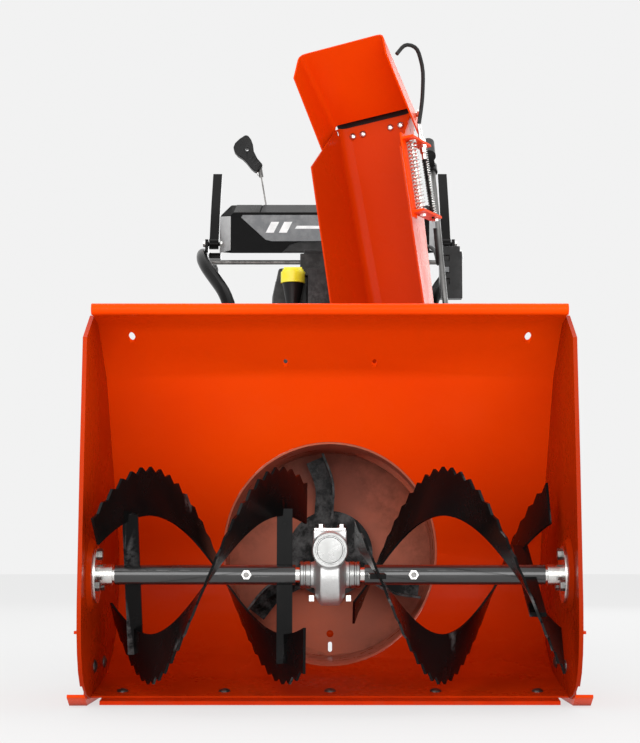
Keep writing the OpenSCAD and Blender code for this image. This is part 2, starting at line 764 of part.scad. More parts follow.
bar_line = rounded([[138.5, 150, 160], [138.5, 208, 262], [186, 300, 663], [249, 430, 759], [bar_x, 530, 797],
    [bar_x, 748, 797]], 60, 6);
lever_x = [223, 241.5];
lever_at = [0, 500, 808];
module handlebars() color("black") both_sides() {
    swept(bar_line, bar_r, 20);
    difference() {
        box([243, 490, 786], [249, 510, 816]);
        translate(lever_at) rod_x(3.9, 240, 252);
    }
    translate(lever_at) rod_x(3.9, 219, 249);
    box([frame_x + gap, 176, 205], [132, 206, 235]);
    box([221.4, 536, 786], [bar_x - 6, 560, 797]);
}
module hand_grips() color("black") both_sides() translate([bar_x, 0, 797]) difference() {
    rod_y(17, 610, 750);
    rod_y(12.8, 600, 748.3);
}
dash_front = 480;
module dash_panel() color("black") difference() {
    union() {
        hull() {
            box([-197, dash_front, 786], [197, dash_front + 2, 867]);
            box([-221, 520, 790], [221, 522, 871]);
            box([-194, 520, 786], [194, 522, 892]);
        }
        hull() {
            box([-221, 521, 790], [221, 522, 871]);
            box([-194, 521, 786], [194, 522, 892]);
            box([-190, 620, 800], [190, 621, 880]);
        }
    }
    box([-188, 490, 780], [188, 610, 862]);
    box([-134, 522, 850], [-104, 580, 900]);
    box([68, 516, 850], [92, 580, 900]);
}
module clutch_lever() difference() {
    side_profile(lever_x[0], lever_x[1]) polygon(concat(
        strip(rounded([[508, 812], [540, 880], [598, 971]], 40, 4), -5, 5), [[504, 815]]));
    translate(lever_at) rod_x(10.4, lever_x[0] - 1, lever_x[1] + 1);
}
module lever_hub() translate(lever_at) difference() {
    rod_x(10.6, lever_x[0], lever_x[1]);
    rod_x(4, lever_x[0] - 1, lever_x[1] + 1);
}
module drive_clutch_lever() color("black") union() {
    clutch_lever();
    lever_hub();
}
module auger_clutch_lever() color("black") mirror([1, 0, 0]) union() {
    clutch_lever();
    lever_hub();
}
module interlock_rod() color("silver") translate([0, 500, 771]) difference() {
    rod_x(4.5, -238, 238);
    rod_x(2, -239, -230);
}
shift_at = [-117, 548, 820];
module shift_lever() color("silver") translate(shift_at) difference() {
    union() {
        rotate([0, -9.6, 0]) {
            box([-1.6, -7, 0], [1.6, 7, 140]);
            translate([0, 0, 138]) cylinder(r = 4.5, h = 19);
        }
        rod_x(10, -5, 5);
    }
    rod_x(4.2, -12, 12);
}
module shift_knob() color("black") translate(shift_at) rotate([0, -9.6, 0]) translate([0, 0, 160.3])
    rotate([0, -20, 0]) difference() {
        translate([0, 11, 0]) rotate([90, 0, 0]) linear_extrude(22) hull() {
            translate([0, 6]) circle(r = 8);
            translate([-9, 62]) circle(r = 11);
            translate([11, 58]) circle(r = 11);
        }
        translate([3, 0, 46]) rod_y(6, -20, 20);
    }

housing_wrap();
side_plate_left();
side_plate_right();
impeller_drum();
scraper_bar();
skid_shoes();
shaft_bearings();
housing_bolts();
auger_tube_left();
auger_flights_left();
auger_tube_right();
auger_flights_right();
auger_shaft();
shear_pins();
worm_wheel();
gearbox_case();
impeller_shaft();
impeller();
impeller_pulley();
chute_ring();
chute_body();
chute_deflector();
deflector_springs();
deflector_bracket();
chute_bolts();
chute_crank_rod();
chute_crank_handle();
deflector_cable();
control_cable();
deflector_lever();
tractor_frame();
belt_cover();
engine_block();
engine_shroud();
recoil_handle();
muffler();
fuel_tank();
fuel_cap();
oil_filler();
oil_cap();
choke_knob();
starter_motor();
switch_box();
starter_button();
engine_pulley();
drive_belts();
friction_disc();
friction_wheel();
hex_shaft();
axle();
rims();
tyres();
handlebars();
hand_grips();
dash_panel();
drive_clutch_lever();
auger_clutch_lever();
interlock_rod();
shift_lever();
shift_knob();
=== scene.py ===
"""Looks for the two-stage snowblower: materials, cast and moulded detail, springs, tyres, light and camera."""

import json
import math

import bmesh
import bpy
from mathutils import Matrix, Vector


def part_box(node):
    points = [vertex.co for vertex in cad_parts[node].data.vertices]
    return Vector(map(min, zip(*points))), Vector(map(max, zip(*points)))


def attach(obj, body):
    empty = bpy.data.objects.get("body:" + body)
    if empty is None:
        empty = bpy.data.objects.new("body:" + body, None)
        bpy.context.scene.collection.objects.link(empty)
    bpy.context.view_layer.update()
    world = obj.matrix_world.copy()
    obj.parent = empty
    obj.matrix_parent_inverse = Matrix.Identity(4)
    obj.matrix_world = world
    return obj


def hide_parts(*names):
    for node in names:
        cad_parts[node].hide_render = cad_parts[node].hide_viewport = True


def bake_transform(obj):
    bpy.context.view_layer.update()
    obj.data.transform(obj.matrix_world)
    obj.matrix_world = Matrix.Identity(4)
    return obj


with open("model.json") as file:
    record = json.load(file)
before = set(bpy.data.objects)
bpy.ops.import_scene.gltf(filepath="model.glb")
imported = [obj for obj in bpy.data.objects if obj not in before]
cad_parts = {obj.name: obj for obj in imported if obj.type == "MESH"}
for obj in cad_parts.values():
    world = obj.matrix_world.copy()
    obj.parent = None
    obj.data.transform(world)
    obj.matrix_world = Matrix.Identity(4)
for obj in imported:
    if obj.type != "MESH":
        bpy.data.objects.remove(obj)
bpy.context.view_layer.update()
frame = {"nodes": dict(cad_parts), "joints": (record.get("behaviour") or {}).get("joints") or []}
nodes = frame["nodes"]
joints = {j["name"]: j for j in frame["joints"]}
scene = bpy.context.scene

TAU = 2 * math.pi
X_AXIS, Y_AXIS, Z_AXIS = Vector((1, 0, 0)), Vector((0, 1, 0)), Vector((0, 0, 1))
MM = 0.001
CRISP = math.radians(34)  # edges that turn more than this stay sharp, and take a small round


# ---------- places taken from the frame ----------

def joint_at(name):
    return Vector(joints[name]["pos_m"])


def joint_axis(name):
    return Vector(joints[name]["axis"]).normalized()


def frame_at(origin, z, x=None):
    """Matrix whose local Z runs along z, with local X as near to x as it can be."""
    z = Vector(z).normalized()
    hint = Vector(x) if x is not None else (X_AXIS if abs(z.x) < 0.9 else Y_AXIS)
    x = (hint - z * hint.dot(z)).normalized()
    y = z.cross(x)
    turn = Matrix((x, y, z)).transposed().to_4x4()
    return Matrix.Translation(origin) @ turn


AUGER = joint_at("auger_spin")
IMPELLER = joint_at("impeller_spin")
AXLE = joint_at("wheel_spin")
CHUTE = frame_at(joint_at("chute_rotate"), joint_axis("chute_rotate"), joint_axis("deflector_tilt"))


# ---------- materials ----------

def noise_of(tree, place, scale, detail=4.0, roughness=0.55, stretch=None):
    if stretch:
        mapping = tree.nodes.new("ShaderNodeMapping")
        mapping.inputs["Scale"].default_value = stretch
        tree.links.new(place, mapping.inputs["Vector"])
        place = mapping.outputs["Vector"]
    made = tree.nodes.new("ShaderNodeTexNoise")
    made.inputs["Scale"].default_value = scale
    made.inputs["Detail"].default_value = detail
    made.inputs["Roughness"].default_value = roughness
    tree.links.new(place, made.inputs["Vector"])
    return made.outputs["Fac"]


def ranged(tree, value, lo, hi, to_lo=0.0, to_hi=1.0):
    made = tree.nodes.new("ShaderNodeMapRange")
    for key, number in (("From Min", lo), ("From Max", hi), ("To Min", to_lo), ("To Max", to_hi)):
        made.inputs[key].default_value = number
    tree.links.new(value, made.inputs["Value"])
    return made.outputs["Result"]


def multiplied(tree, a, b):
    made = tree.nodes.new("ShaderNodeMath")
    made.operation = "MULTIPLY"
    tree.links.new(a, made.inputs[0])
    if isinstance(b, float):
        made.inputs[1].default_value = b
    else:
        tree.links.new(b, made.inputs[1])
    return made.outputs["Value"]


def mixed(tree, factor, a, b):
    made = tree.nodes.new("ShaderNodeMix")
    made.data_type = "RGBA"
    tree.links.new(factor, made.inputs["Factor"])
    for socket, colour in ((made.inputs["A"], a), (made.inputs["B"], b)):
        if isinstance(colour, tuple):
            socket.default_value = (*colour, 1.0)
        else:
            tree.links.new(colour, socket)
    return made.outputs["Result"]


def material(name, base, second, rough, metallic=0.0, cloud=9.0, grain=700.0, bump=0.12, depth=0.4 * MM,
             spread=0.06, stretch=None, wear=None, wear_from=0.53, dust=None, ground_darkening=None, ground_darkening_top=0.06,
             ground_darkening_even=0.0, coat=0.0, coat_rough=0.08, specular=0.5, cast=0.0):
    """Principled material: two colours, uneven gloss, relief, worn edges, dusty hollows, and a darkening towards
    the ground.
    """
    made = bpy.data.materials.new(name)
    made.use_nodes = True
    tree = made.node_tree
    tree.nodes.clear()
    out = tree.nodes.new("ShaderNodeOutputMaterial")
    skin = tree.nodes.new("ShaderNodeBsdfPrincipled")
    tree.links.new(skin.outputs["BSDF"], out.inputs["Surface"])
    place = tree.nodes.new("ShaderNodeTexCoord").outputs["Object"]
    clouds = noise_of(tree, place, cloud, 5.0)
    colour = mixed(tree, ranged(tree, clouds, 0.35, 0.65), base, second)
    if dust or wear:
        point = tree.nodes.new("ShaderNodeNewGeometry").outputs["Pointiness"]
        patches = noise_of(tree, place, 60.0, 6.0, 0.7)
    if dust:
        hollow = multiplied(tree, ranged(tree, point, 0.485, 0.42), ranged(tree, patches, 0.3, 0.7))
        colour = mixed(tree, hollow, colour, dust)
    # Darkening towards the ground: painted shade on the orange paints, a dark band along the scraper bar's lowest
    # edge
    if ground_darkening:
        height = tree.nodes.new("ShaderNodeSeparateXYZ")
        tree.links.new(place, height.inputs["Vector"])
        low = ranged(tree, height.outputs["Z"], ground_darkening_top, 0.0)
        streaks = noise_of(tree, place, 30.0, 8.0, 0.75, (1.0, 1.0, 0.35))
        ground_darkening_mask = multiplied(tree, low, ranged(tree, streaks, 0.5, 0.72, ground_darkening_even, max(ground_darkening_even, 0.7)))
        colour = mixed(tree, ground_darkening_mask, colour, ground_darkening)
    if wear:
        raised = ranged(tree, point, wear_from, wear_from + 0.07)
        edge = multiplied(tree, raised, ranged(tree, patches, 0.42, 0.62))
        colour = mixed(tree, edge, colour, wear)
    tree.links.new(colour, skin.inputs["Base Color"])
    gloss = noise_of(tree, place, cloud * 4.0, 6.0, 0.6, stretch)
    rough_value = ranged(tree, gloss, 0.3, 0.7, max(rough - spread, 0.02), min(rough + spread, 1.0))
    tree.links.new(rough_value, skin.inputs["Roughness"])
    fine = noise_of(tree, place, grain, 3.0, 0.6, stretch)
    relief = tree.nodes.new("ShaderNodeBump")
    relief.inputs["Strength"].default_value = bump
    relief.inputs["Distance"].default_value = depth
    tree.links.new(fine, relief.inputs["Height"])
    if cast:
        pits = noise_of(tree, place, grain * 0.22, 5.0, 0.65)
        coarse = tree.nodes.new("ShaderNodeBump")
        coarse.inputs["Strength"].default_value = cast
        coarse.inputs["Distance"].default_value = depth * 2.5
        tree.links.new(pits, coarse.inputs["Height"])
        tree.links.new(coarse.outputs["Normal"], relief.inputs["Normal"])
    tree.links.new(relief.outputs["Normal"], skin.inputs["Normal"])
    skin.inputs["Metallic"].default_value = metallic
    skin.inputs["Specular IOR Level"].default_value = specular
    skin.inputs["Coat Weight"].default_value = coat
    skin.inputs["Coat Roughness"].default_value = coat_rough
    return made


def orange(name, painted_brightness, ground_darkening_top=0.34):
    """Orange powder coat whose brightness level is painted light and shade, with a dark film of painted shade that
    thickens from the given top height down to the ground.
    """
    # the brightness level and the dark film toward the ground are painted shade
    return material(
        name, (0.90 * painted_brightness, 0.064 * painted_brightness, 0.001), (0.84 * painted_brightness, 0.050 * painted_brightness, 0.001), 0.28, cloud=3.0,
        grain=520.0, bump=0.10, depth=0.25 * MM, ground_darkening=(0.30, 0.014, 0.001), ground_darkening_top=ground_darkening_top, ground_darkening_even=0.75,
        coat=0.01, coat_rough=0.08, specular=0.04)


GREY_DUST = (0.16, 0.15, 0.14)
finishes = {
    # the housing's paint takes painted shade towards the ground
    "orange_paint": orange("orange_powder_coat", 1.06),
    "black_paint": material(
        "black_gloss_paint", (0.003, 0.003, 0.003), (0.006, 0.0055, 0.0055), 0.24, grain=500.0, bump=0.10,
        wear=(0.10, 0.10, 0.10), wear_from=0.58, coat=0.0, coat_rough=0.06, specular=0.08),
    "zinc_steel": material(
        "zinc_plated_steel", (0.78, 0.77, 0.74), (0.60, 0.60, 0.59), 0.26, metallic=1.0, grain=900.0, bump=0.10,
        wear=(0.9, 0.89, 0.86), dust=GREY_DUST, stretch=(1.0, 1.0, 0.25)),
    "dark_steel": material(
        "dark_plated_steel", (0.16, 0.155, 0.15), (0.09, 0.088, 0.085), 0.34, metallic=0.9, grain=800.0,
        bump=0.15, wear=(0.5, 0.49, 0.47), dust=(0.05, 0.04, 0.035)),
    "bronze": material(
        "machined_bronze", (0.72, 0.46, 0.18), (0.55, 0.33, 0.12), 0.3, metallic=1.0, wear=(0.9, 0.7, 0.4)),
    "cast_aluminium": material(
        "sand_cast_aluminium", (0.62, 0.62, 0.615), (0.49, 0.49, 0.485), 0.36, metallic=0.85, cloud=26.0,
        grain=1500.0, bump=0.30, depth=0.35 * MM, wear=(0.92, 0.92, 0.9), dust=(0.22, 0.2, 0.19), cast=0.5),
    "muffler_steel": material(
        "heat_stained_steel", (0.14, 0.12, 0.10), (0.28, 0.24, 0.19), 0.46, metallic=0.9, cloud=16.0, bump=0.25,
        wear=(0.5, 0.46, 0.4), dust=(0.08, 0.05, 0.03)),
    "black_plastic": material(
        "moulded_black_plastic", (0.005, 0.005, 0.005), (0.009, 0.009, 0.009), 0.38, grain=1700.0, bump=0.28,
        depth=0.2 * MM, wear=(0.05, 0.05, 0.05), dust=(0.02, 0.019, 0.018), specular=0.22),
    "charcoal_plastic": material(
        "moulded_charcoal_plastic", (0.008, 0.008, 0.0085), (0.013, 0.013, 0.0135), 0.36, grain=1500.0, bump=0.22,
        depth=0.2 * MM, wear=(0.08, 0.08, 0.08), dust=(0.03, 0.029, 0.028), specular=0.25),
    "grey_plastic": material(
        "moulded_grey_plastic", (0.120, 0.126, 0.132), (0.110, 0.115, 0.120), 0.4, grain=1500.0, bump=0.2,
        depth=0.2 * MM, wear=(0.25, 0.25, 0.25)),
    "yellow_plastic": material(
        "moulded_yellow_plastic", (0.90, 0.86, 0.03), (0.82, 0.76, 0.02), 0.34, grain=1300.0, bump=0.16,
        depth=0.2 * MM, wear=(0.95, 0.93, 0.3), dust=(0.45, 0.40, 0.05)),
    "soft_rubber": material(
        "soft_black_rubber", (0.006, 0.006, 0.006), (0.011, 0.0105, 0.0105), 0.55, grain=1400.0, bump=0.35,
        depth=0.25 * MM, wear=(0.03, 0.03, 0.03), dust=(0.03, 0.029, 0.027), specular=0.25),
    "tyre_rubber": material(
        "tyre_rubber", (0.016, 0.016, 0.016), (0.03, 0.029, 0.028), 0.66, cloud=22.0, grain=900.0, bump=0.4,
        depth=0.4 * MM, wear=(0.055, 0.054, 0.052), dust=(0.09, 0.085, 0.078), specular=0.3),
    "white_paint": material(
        "white_wheel_paint", (0.74, 0.73, 0.70), (0.66, 0.65, 0.62), 0.3, cloud=12.0, grain=600.0, bump=0.12,
        wear=(0.45, 0.44, 0.42), dust=(0.35, 0.33, 0.30), coat=0.25),
}
machined_face = material(
    "machined_face", (0.36, 0.36, 0.355), (0.30, 0.30, 0.295), 0.30, metallic=1.0, cloud=30.0, grain=900.0,
    bump=0.15, wear=(0.7, 0.7, 0.68), wear_from=0.57, dust=(0.10, 0.095, 0.09))
# Light grey for the dash's side facets, the same black plastic shown lit: a painted reflection
facet_reflection = material(
    "dash_facet_painted_reflection", (0.40, 0.40, 0.40), (0.38, 0.38, 0.385), 0.34, grain=1500.0, bump=0.2, depth=0.2 * MM,
    wear=(0.5, 0.5, 0.5))
# Lighter grey for the dash's slanted top band: a painted highlight
band_highlight = material(
    "dash_band_painted_highlight", (0.024, 0.024, 0.024), (0.021, 0.021, 0.021), 0.3, grain=1500.0, bump=0.22,
    depth=0.2 * MM, wear=(0.12, 0.12, 0.12), wear_from=0.57, specular=0.25)
white_mark = material(
    "white_stripe_paint", (0.82, 0.82, 0.82), (0.74, 0.74, 0.74), 0.4, grain=1500.0, bump=0.1, depth=0.1 * MM,
    wear=(0.5, 0.5, 0.5))
# Greyed, darker orange for the impeller drum: painted reflection and painted shade, with worn edges
drum_paint = material(
    "drum_painted_reflection_and_shade", (0.60, 0.155, 0.085), (0.40, 0.125, 0.080), 0.30, cloud=6.0, grain=420.0, bump=0.16,
    depth=0.3 * MM, wear=(0.5, 0.3, 0.22), wear_from=0.57, dust=(0.06, 0.03, 0.02), coat=0.0, specular=0.05)
tube_paint = material(
    "polished_black_tube", (0.010, 0.010, 0.010), (0.014, 0.014, 0.014), 0.22, grain=600.0, bump=0.08,
    wear=(0.2, 0.2, 0.2), wear_from=0.57, coat=0.6, coat_rough=0.12, specular=0.6)
dash_black = material(
    "dash_black_plastic", (0.0015, 0.0015, 0.0016), (0.002, 0.002, 0.0021), 0.36, cloud=30.0, grain=1500.0,
    bump=0.2, depth=0.2 * MM, wear=(0.03, 0.03, 0.03), wear_from=0.58, dust=(0.008, 0.0078, 0.0076), specular=0.07)
scuffed_steel = material(
    "scuffed_orange_steel", (0.55, 0.026, 0.001), (0.48, 0.021, 0.001), 0.34, cloud=24.0, grain=420.0, bump=0.25,
    depth=0.3 * MM, wear=(0.50, 0.24, 0.16), wear_from=0.57, ground_darkening=(0.30, 0.05, 0.02), ground_darkening_top=0.010, coat=0.0,
    specular=0.04)

# Node names by the slot that each takes its finish from
SLOTS = {
    "orange_paint": ["housing_wrap", "side_plate_left", "side_plate_right", "impeller_drum", "scraper_bar",
                     "skid_shoes", "chute_body", "chute_deflector", "deflector_bracket"],
    "black_paint": ["auger_tube_left", "auger_flights_left", "auger_tube_right", "auger_flights_right",
                    "impeller", "tractor_frame", "belt_cover", "handlebars", "drive_clutch_lever",
                    "auger_clutch_lever"],
    "zinc_steel": ["shaft_bearings", "auger_shaft", "shear_pins", "impeller_shaft", "chute_bolts", "hex_shaft",
                   "interlock_rod", "shift_lever", "axle", "friction_disc", "deflector_springs"],
    "dark_steel": ["housing_bolts", "impeller_pulley", "engine_pulley", "chute_crank_rod"],
    "bronze": ["worm_wheel"],
    "cast_aluminium": ["gearbox_case", "engine_block"],
    "muffler_steel": ["muffler"],
    "black_plastic": ["engine_shroud", "fuel_tank", "fuel_cap", "oil_filler", "choke_knob", "starter_motor",
                      "switch_box", "shift_knob", "recoil_handle", "deflector_lever", "chute_crank_handle"],
    "charcoal_plastic": ["dash_panel", "chute_ring"],
    "grey_plastic": ["starter_button"],
    "yellow_plastic": ["oil_cap"],
    "soft_rubber": ["deflector_cable", "control_cable", "hand_grips", "drive_belts", "friction_wheel"],
    "tyre_rubber": ["tyres"],
    "white_paint": ["rims"],
}
# Nodes whose look differs from their slot's common finish
# The skid shoes, side plates, chute and hood take darker copies of the orange paint: painted shade
SPECIAL = {
    "scraper_bar": scuffed_steel,
    "skid_shoes": orange("skid_painted_shade", 0.80, 0.004),
    "impeller_drum": drum_paint,
    "shift_lever": finishes["dark_steel"],
    "interlock_rod": finishes["dark_steel"],
    "auger_tube_left": tube_paint,
    "auger_tube_right": tube_paint,
    "side_plate_left": orange("side_plate_painted_shade", 0.44),
    "side_plate_right": orange("side_plate_painted_shade_r", 0.53),
    "chute_body": orange("chute_painted_shade", 0.64, 0.02),
    "chute_deflector": orange("hood_painted_shade", 0.84, 0.02),
}


def smoothing_group():
    """Geometry nodes that round the shading of a CAD mesh and keep its edges crisp."""
    tree = bpy.data.node_groups.new("crisp_shading", "GeometryNodeTree")
    tree.interface.new_socket("Geometry", in_out="INPUT", socket_type="NodeSocketGeometry")
    tree.interface.new_socket("Geometry", in_out="OUTPUT", socket_type="NodeSocketGeometry")
    start = tree.nodes.new("NodeGroupInput")
    end = tree.nodes.new("NodeGroupOutput")
    plain = tree.nodes.new("GeometryNodeRemoveAttribute")
    plain.inputs["Name"].default_value = "custom_normal"
    round_faces = tree.nodes.new("GeometryNodeSetShadeSmooth")
    round_faces.domain = "FACE"
    crisp = tree.nodes.new("GeometryNodeSetShadeSmooth")
    crisp.domain = "EDGE"
    crisp.inputs["Shade Smooth"].default_value = False
    angle = tree.nodes.new("GeometryNodeInputMeshEdgeAngle")
    sharp = tree.nodes.new("FunctionNodeCompare")
    sharp.inputs["B"].default_value = CRISP
    tree.links.new(angle.outputs["Unsigned Angle"], sharp.inputs["A"])
    tree.links.new(sharp.outputs["Result"], crisp.inputs["Selection"])
    tree.links.new(start.outputs["Geometry"], plain.inputs["Geometry"])
    tree.links.new(plain.outputs["Geometry"], round_faces.inputs["Geometry"])
    tree.links.new(round_faces.outputs["Geometry"], crisp.inputs["Geometry"])
    tree.links.new(crisp.outputs["Geometry"], end.inputs["Geometry"])
    return tree


crisp_shading = smoothing_group()


def soften(obj, width, cad=True):
    """Small rounded edges and clean shading, by modifiers alone; a CAD mesh first loses its flat facets."""
    if cad:
        weld = obj.modifiers.new("weld", "WELD")
        weld.merge_threshold = 0.01 * MM
        flat = obj.modifiers.new("flat", "DECIMATE")
        flat.decimate_type = "DISSOLVE"
        flat.angle_limit = math.radians(0.4)
    if width:
        bevel = obj.modifiers.new("edges", "BEVEL")
        bevel.width = width
        bevel.segments = 2
        bevel.limit_method = "ANGLE"
        bevel.angle_limit = CRISP
        bevel.use_clamp_overlap = True
        bevel.harden_normals = False
    shade = obj.modifiers.new("shade", "NODES")
    shade.node_group = crisp_shading
    even = obj.modifiers.new("even", "WEIGHTED_NORMAL")
    even.keep_sharp = True
    even.weight = 80


# Radius of each CAD node's edges, in millimetres; the others have DEFAULT_EDGE
DEFAULT_EDGE = 0.3
EDGE = {
    "housing_wrap": 0.6, "side_plate_left": 0.7, "side_plate_right": 0.7, "impeller_drum": 0.4,
    "scraper_bar": 0.8,
    "skid_shoes": 0.8, "belt_cover": 1.5, "engine_block": 1.2, "engine_shroud": 4.0, "muffler": 5.0,
    "fuel_tank": 5.0, "fuel_cap": 1.5, "oil_cap": 1.2, "switch_box": 1.0, "chute_crank_handle": 1.5,
    "tractor_frame": 0.8, "auger_flights_left": 0.5, "auger_flights_right": 0.5, "impeller": 0.5,
    "chute_body": 0.4, "chute_deflector": 0.4, "handlebars": 0.4, "drive_clutch_lever": 1.2,
    "auger_clutch_lever": 1.2, "deflector_bracket": 0.5, "rims": 0.6, "shift_knob": 3.0, "chute_ring": 0.5,
    "deflector_cable": 0.0, "control_cable": 0.0, "starter_button": 0.3,
}
for slot_name, members in SLOTS.items():
    for member in members:
        cad = nodes[member]
        look = SPECIAL.get(member, finishes[slot_name])
        if not cad.material_slots:
            cad.data.materials.append(look)
        for place_in in cad.material_slots:
            place_in.material = look
        soften(cad, EDGE.get(member, DEFAULT_EDGE) * MM)


# ---------- shapes ----------

def lathe(bm, profile, at, steps=48):
    """Surface of revolution about the local Z of at, through (radius, height) points."""
    rings = []
    for r, h in profile:
        if r < 1e-7:
            rings.append([bm.verts.new(at @ Vector((0, 0, h)))])
        else:
            turn = [TAU * k / steps for k in range(steps)]
            rings.append([bm.verts.new(at @ Vector((r * math.cos(a), r * math.sin(a), h))) for a in turn])
    for a, b in zip(rings, rings[1:]):
        for k in range(steps):
            n = (k + 1) % steps
            if len(a) == 1 and len(b) > 1:
                bm.faces.new((a[0], b[n], b[k]))
            elif len(b) == 1 and len(a) > 1:
                bm.faces.new((a[k], a[n], b[0]))
            elif len(a) > 1:
                bm.faces.new((a[k], a[n], b[n], b[k]))


def prism(bm, outline, z0, z1, at=Matrix.Identity(4)):
    low = [bm.verts.new(at @ Vector((x, y, z0))) for x, y in outline]
    high = [bm.verts.new(at @ Vector((x, y, z1))) for x, y in outline]
    bm.faces.new(list(reversed(low)))
    bm.faces.new(high)
    for k in range(len(outline)):
        n = (k + 1) % len(outline)
        bm.faces.new((low[k], low[n], high[n], high[k]))


def block(bm, lo, hi, at=Matrix.Identity(4)):
    prism(bm, [(lo[0], lo[1]), (hi[0], lo[1]), (hi[0], hi[1]), (lo[0], hi[1])], lo[2], hi[2], at)


def in_mm(points):
    """Points given in millimetres, in metres."""
    return [tuple(value * MM for value in point) for point in points]


def raised_quad(bm, corners, below, above):
    """Thin plate over four corners, from an offset below them to one above them, open underneath."""
    lower = [bm.verts.new(c + below) for c in corners]
    upper = [bm.verts.new(c + above) for c in corners]
    bm.faces.new(upper)
    for k in range(4):
        n = (k + 1) % 4
        bm.faces.new((lower[k], lower[n], upper[n], upper[k]))


def holed_prism(bm, outline, hole, z0, z1, at):
    """Prism with one opening through it."""
    loops = []
    for z in (z0, z1):
        edges = []
        rings = []
        for line in (outline, hole):
            ring = [bm.verts.new(at @ Vector((x, y, z))) for x, y in line]
            edges += [bm.edges.new((ring[k], ring[(k + 1) % len(ring)])) for k in range(len(ring))]
            rings.append(ring)
        bmesh.ops.triangle_fill(bm, edges=edges, use_beauty=True)
        loops.append(rings)
    for low, high in zip(*loops):
        for k in range(len(low)):
            n = (k + 1) % len(low)
            bm.faces.new((low[k], low[n], high[n], high[k]))


def ngon(sides, r, start=0.0):
    return [(r * math.cos(start + TAU * k / sides), r * math.sin(start + TAU * k / sides)) for k in range(sides)]


def cylinder(bm, at, r, h, steps=32, r_top=None):
    lathe(bm, [(0, 0), (r, 0), (r if r_top is None else r_top, h), (0, h)], at, steps)


def hex_head(bm, at, r, h, washer=1.35):
    cylinder(bm, at, r * washer, h * 0.2, 32)
    prism(bm, ngon(6, r), h * 0.2, h, at)
    lathe(bm, [(0, h * 1.04), (r * 0.8, h * 1.0)], at, 24)


def dome_head(bm, at, r, h):
    lathe(bm, [(0, h), (r * 0.45, h * 0.9), (r * 0.8, h * 0.55), (r, 0.0), (0, 0.0)], at, 32)


def tube(bm, path, radius, sides=12, closed=False):
    """Round bar along a list of points, its section carried along without twisting."""
    points = [Vector(p) for p in path]
    count = len(points)
    side = None
    rings = []
    for i, p in enumerate(points):
        a = points[i - 1] if i or closed else p
        b = points[(i + 1) % count] if i < count - 1 or closed else p
        t = (b - a).normalized()
        if side is None:
            side = t.orthogonal().normalized()
        side = (side - t * side.dot(t)).normalized()
        up = t.cross(side)
        r = radius[i] if isinstance(radius, list) else radius
        turn = [TAU * k / sides for k in range(sides)]
        rings.append([bm.verts.new(p + (side * math.cos(q) + up * math.sin(q)) * r) for q in turn])
    pairs = list(zip(rings, rings[1:])) + ([(rings[-1], rings[0])] if closed else [])
    for a, b in pairs:
        for k in range(sides):
            n = (k + 1) % sides
            bm.faces.new((a[k], a[n], b[n], b[k]))
    if not closed:
        bm.faces.new(list(reversed(rings[0])))
        bm.faces.new(rings[-1])


def coil(bm, at, radius, wire, length, turns, steps=16):
    """Compression or tension spring along the local Z of at, with one closed turn at each end."""
    count = int((turns + 2) * steps)
    path = []
    for i in range(count + 1):
        turn = i / steps
        rise = min(max(turn - 1, 0), turns) / turns * (length - 4 * wire)
        lift = 2 * wire * (min(turn, 1) + max(turn - turns - 1, 0))
        angle = TAU * turn
        path.append(at @ Vector((radius * math.cos(angle), radius * math.sin(angle), rise + lift)))
    tube(bm, path, wire, 8)


def piece(name, bm, look, body, replaced=(), edge=0.0):
    """Finishes a bmesh as a piece of the object that rides on a body."""
    bmesh.ops.remove_doubles(bm, verts=bm.verts, dist=1e-6)
    bmesh.ops.recalc_face_normals(bm, faces=bm.faces)
    mesh = bpy.data.meshes.new(name)
    bm.to_mesh(mesh)
    bm.free()
    obj = bpy.data.objects.new(name, mesh)
    scene.collection.objects.link(obj)
    mesh.materials.append(look)
    soften(obj, edge, cad=False)
    if body:
        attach(obj, body)
    if replaced:
        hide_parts(*replaced)
    return obj


def shift(x, y, z):
    return Matrix.Translation((x, y, z))


# ---------- gear case ----------

